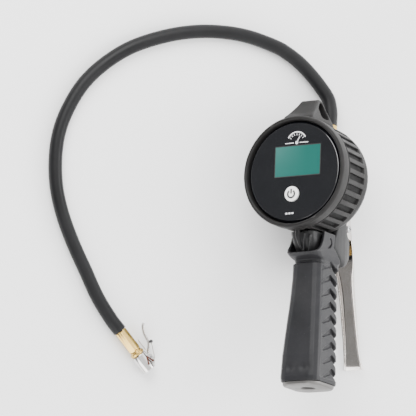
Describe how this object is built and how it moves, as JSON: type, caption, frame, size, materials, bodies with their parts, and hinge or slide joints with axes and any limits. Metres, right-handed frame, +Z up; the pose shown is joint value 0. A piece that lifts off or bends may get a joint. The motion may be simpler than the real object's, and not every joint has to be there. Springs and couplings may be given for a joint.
{
  "type": "tyre inflator with gauge",
  "caption": "Pistol-grip tyre inflator: round digital pressure gauge in a rubber boot, squeeze lever with an air valve, air hose and a clip-on tyre chuck, lying on its back.",
  "frame": {"origin": "on the ground, under the middle of the box round the tool without its hose", "axes": "+Z up from the ground it lies on, +Y from the grip end towards the gauge, +X towards the lever side"},
  "size_m": [0.2959, 0.3209, 0.1045],
  "materials": {
    "rubber": "moulded, satin",
    "hose_rubber": "smooth, satin",
    "seal_rubber": "smooth",
    "black_casting": "die cast, black powder coat",
    "machined_alloy": "machined",
    "black_plastic": "fine texture",
    "smoked_lens": "polished",
    "printed_face": "printed",
    "liquid_crystal": "glossy",
    "white_button": "satin",
    "board": "solder mask",
    "cell_jacket": "printed sleeve",
    "chrome_plate": "bright chrome plate",
    "zinc_plated_steel": "zinc plated",
    "brass": "machined"
  },
  "bodies": {
    "body": {"gauge_boot": "rubber", "gauge_case": "black_plastic", "gauge_lens": "smoked_lens", "face_panel": "printed_face", "display": "liquid_crystal", "display_contact_strip_1": "seal_rubber", "display_contact_strip_2": "seal_rubber", "button_switch": "black_plastic", "circuit_board": "board", "pressure_sensor": "zinc_plated_steel", "battery_1": "cell_jacket", "battery_2": "cell_jacket", "battery_contact_1": "zinc_plated_steel", "battery_contact_2": "zinc_plated_steel", "battery_door": "black_plastic", "door_screw_1": "zinc_plated_steel", "door_screw_2": "zinc_plated_steel", "gauge_stem": "brass", "stem_nut": "brass", "stem_seal": "seal_rubber", "valve_body": "black_casting", "grip_sleeve": "rubber", "inlet_fitting": "machined_alloy", "inlet_strainer": "zinc_plated_steel", "valve_seat": "brass", "valve_gland": "brass", "stem_seal_ring": "seal_rubber", "seal_retainer": "brass", "valve_spring": "zinc_plated_steel", "lever_screw": "zinc_plated_steel", "lever_nut": "zinc_plated_steel", "hose_fitting": "brass", "hose": "hose_rubber", "end_ferrule": "brass", "chuck_adapter": "brass", "chuck_body": "chrome_plate", "clip_pin": "zinc_plated_steel", "clip_spring": "zinc_plated_steel", "chuck_gasket": "seal_rubber", "valve_depressor": "brass"},
    "lever": {"lever": "chrome_plate"},
    "valve_stem": {"valve_stem": "zinc_plated_steel", "poppet_seal": "seal_rubber"},
    "mode_button": {"mode_button": "white_button"},
    "chuck_clip": {"chuck_clip": "chrome_plate", "clip_wire": "zinc_plated_steel"}
  },
  "joints": [
    {"name": "lever_squeeze", "type": "hinge", "parent": "body", "child": "lever", "pos_m": [0.03034, 0.01698, 0.01417], "axis": [-0.7547, -0.1139, -0.6461], "range_deg": [0, 12], "stiffness_Nm_per_rad": 3, "springref_deg": -28.65},
    {"name": "valve_travel", "type": "slide", "parent": "body", "child": "valve_stem", "axis": [-0.6561, 0.1311, 0.7432], "range_m": [0, 0.0046]},
    {"name": "button_press", "type": "slide", "parent": "body", "child": "mode_button", "axis": [0.6561, -0.1311, -0.7432], "range_m": [0, 0.0008], "stiffness_N_per_m": 800, "springref_m": -0.001},
    {"name": "clip_open", "type": "hinge", "parent": "body", "child": "chuck_clip", "pos_m": [-0.13009, -0.10741, 0.007], "axis": [0, 0, 1], "range_deg": [0, 12], "stiffness_Nm_per_rad": 0.5, "springref_deg": -17.19}
  ],
  "couplings": [
    {"joint": "valve_travel", "follows": "lever_squeeze", "m_per_rad": 0.0219}
  ]
}
